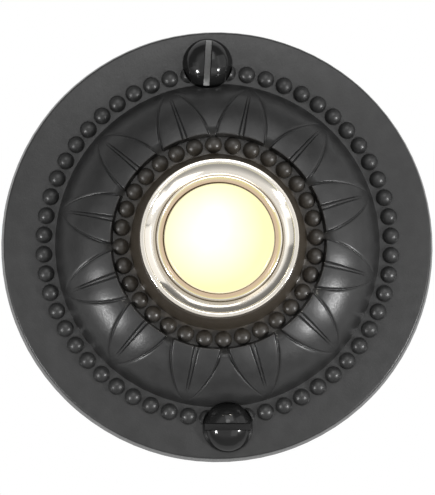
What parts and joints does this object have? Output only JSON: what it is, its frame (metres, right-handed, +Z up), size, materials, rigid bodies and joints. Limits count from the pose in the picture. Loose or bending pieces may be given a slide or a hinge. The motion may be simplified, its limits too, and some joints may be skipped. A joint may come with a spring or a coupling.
{
  "type": "doorbell push button",
  "caption": "Round ornamental bell push: cast rosette with leaves and beads, screwed to the wall, with a turned bezel and a lit sprung pearl button.",
  "frame": {"origin": "centre of the rosette's back, on the wall's surface", "axes": "+Z up as mounted, +Y into the wall, the front and its button face -Y, +X to the right seen from the front"},
  "size_m": [0.0572, 0.0373, 0.0572],
  "materials": {
    "black_cast": "satin black lacquer over a die casting",
    "black_screw": "glossy black plated",
    "nickel": "polished warm nickel plate",
    "plated_brass": "dull plated",
    "pearl_plastic": "polished, translucent, lit from behind",
    "white_plastic": "as moulded",
    "moulded_base": "as moulded",
    "spring_steel": "bright",
    "lamp_epoxy": "clear",
    "resistor_body": "lacquered",
    "bronze": "bright rolled strip",
    "contact_brass": "bright",
    "steel_screw": "zinc plated"
  },
  "bodies": {
    "housing": {"rosette": "black_cast", "mounting_screw_top": "black_screw", "mounting_screw_bottom": "black_screw", "bezel_shell": "nickel", "hub_washer": "plated_brass", "hub_nut": "plated_brass", "terminal_base": "moulded_base", "base_retaining_ring": "spring_steel", "lamp": "lamp_epoxy", "resistor": "resistor_body", "contact_spring": "bronze", "fixed_contact": "contact_brass", "spring_rivet": "contact_brass", "terminal_plate_left": "contact_brass", "terminal_plate_right": "contact_brass", "terminal_screw_left": "steel_screw", "terminal_screw_right": "steel_screw"},
    "button": {"pearl_lens": "pearl_plastic", "button_carrier": "white_plastic"}
  },
  "joints": [
    {"name": "button_press", "type": "slide", "parent": "housing", "child": "button", "axis": [0, 1, 0], "range_m": [0, 0.0015], "stiffness_N_per_m": 500, "springref_m": -0.003, "deforming": ["contact_spring"]}
  ]
}
